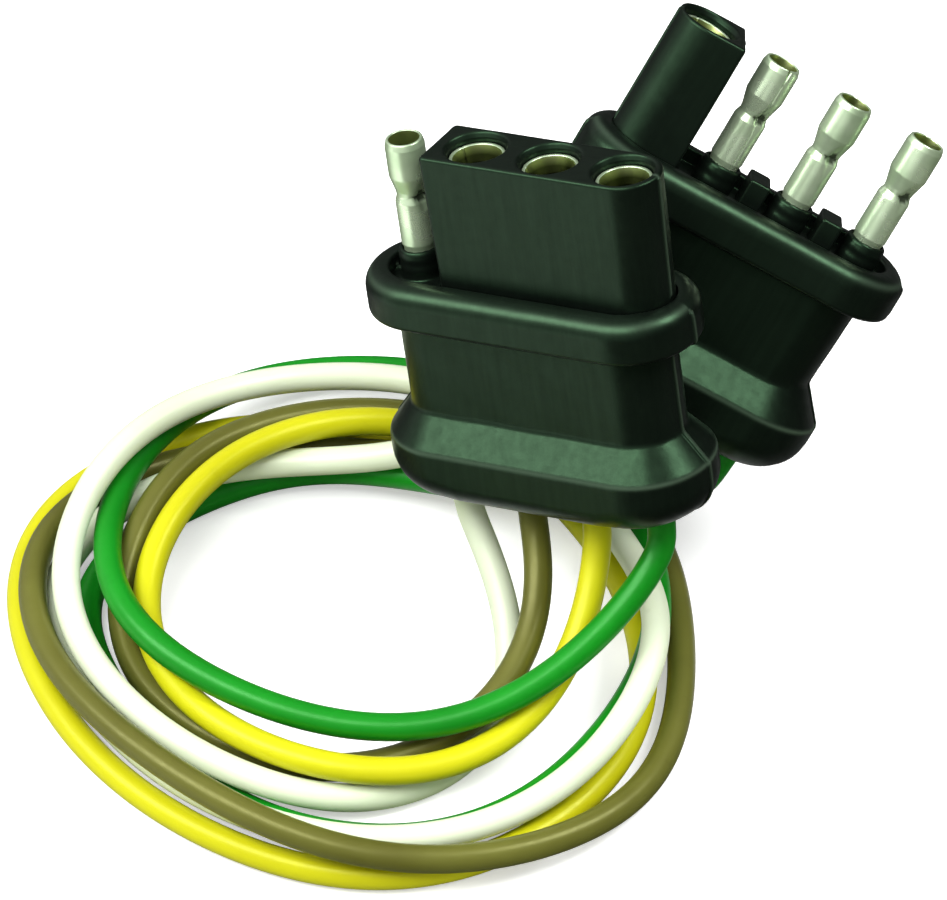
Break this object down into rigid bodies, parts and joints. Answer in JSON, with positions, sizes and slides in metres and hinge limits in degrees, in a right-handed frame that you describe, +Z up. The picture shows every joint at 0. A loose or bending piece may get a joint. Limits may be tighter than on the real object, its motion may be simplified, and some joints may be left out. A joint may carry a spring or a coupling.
{
  "type": "trailer wiring connector",
  "caption": "Flat moulded trailer wiring connector pair on a coiled multi-wire harness, with bullet pins, shrouded sockets and colour-coded wires.",
  "frame": {"origin": "bottom centre of the whole object's box, on the plane the wire coil lies on", "axes": "+Z up out of the coil's plane; +X along the longest side of the box, from the coil towards the rear connector; +Y away from the side the front connector's broad face looks to"},
  "size_m": [0.108, 0.0826, 0.0686],
  "materials": {
    "housing_rubber": "moulded satin",
    "block_rubber": "moulded satin",
    "tinned_brass": "bright tin plating over brass",
    "bare_copper": "stranded bare copper",
    "white_jacket": "semi-gloss",
    "brown_jacket": "semi-gloss",
    "yellow_jacket": "semi-gloss",
    "green_jacket": "semi-gloss"
  },
  "bodies": {
    "wire_coil": {"coil_white_jacket": "white_jacket", "coil_white_core": "bare_copper", "coil_brown_jacket": "brown_jacket", "coil_brown_core": "bare_copper", "coil_yellow_jacket": "yellow_jacket", "coil_yellow_core": "bare_copper", "coil_green_jacket": "green_jacket", "coil_green_core": "bare_copper"},
    "front_connector": {"front_housing": "housing_rubber", "front_contact_block": "block_rubber", "front_white_pin": "tinned_brass", "front_white_lead": "white_jacket", "front_white_core": "bare_copper", "front_brown_socket": "tinned_brass", "front_brown_lead": "brown_jacket", "front_brown_core": "bare_copper", "front_yellow_socket": "tinned_brass", "front_yellow_lead": "yellow_jacket", "front_yellow_core": "bare_copper", "front_green_socket": "tinned_brass", "front_green_lead": "green_jacket", "front_green_core": "bare_copper"},
    "rear_connector": {"rear_housing": "housing_rubber", "rear_contact_block": "block_rubber", "rear_white_socket": "tinned_brass", "rear_white_lead": "white_jacket", "rear_white_core": "bare_copper", "rear_brown_pin": "tinned_brass", "rear_brown_lead": "brown_jacket", "rear_brown_core": "bare_copper", "rear_yellow_pin": "tinned_brass", "rear_yellow_lead": "yellow_jacket", "rear_yellow_core": "bare_copper", "rear_green_pin": "tinned_brass", "rear_green_lead": "green_jacket", "rear_green_core": "bare_copper"}
  },
  "joints": [
    {"name": "front_lead_flex", "type": "hinge", "parent": "wire_coil", "child": "front_connector", "pos_m": [0.01063, 0.0004, 0.01917], "axis": [0.8575, -0.4466, 0.2554], "range_deg": [-3, 55], "stiffness_Nm_per_rad": 0.12},
    {"name": "rear_lead_flex", "type": "hinge", "parent": "wire_coil", "child": "rear_connector", "pos_m": [0.01701, 0.01631, 0.01854], "axis": [0.8724, -0.2393, -0.4263], "range_deg": [-55, 2], "stiffness_Nm_per_rad": 0.12}
  ]
}
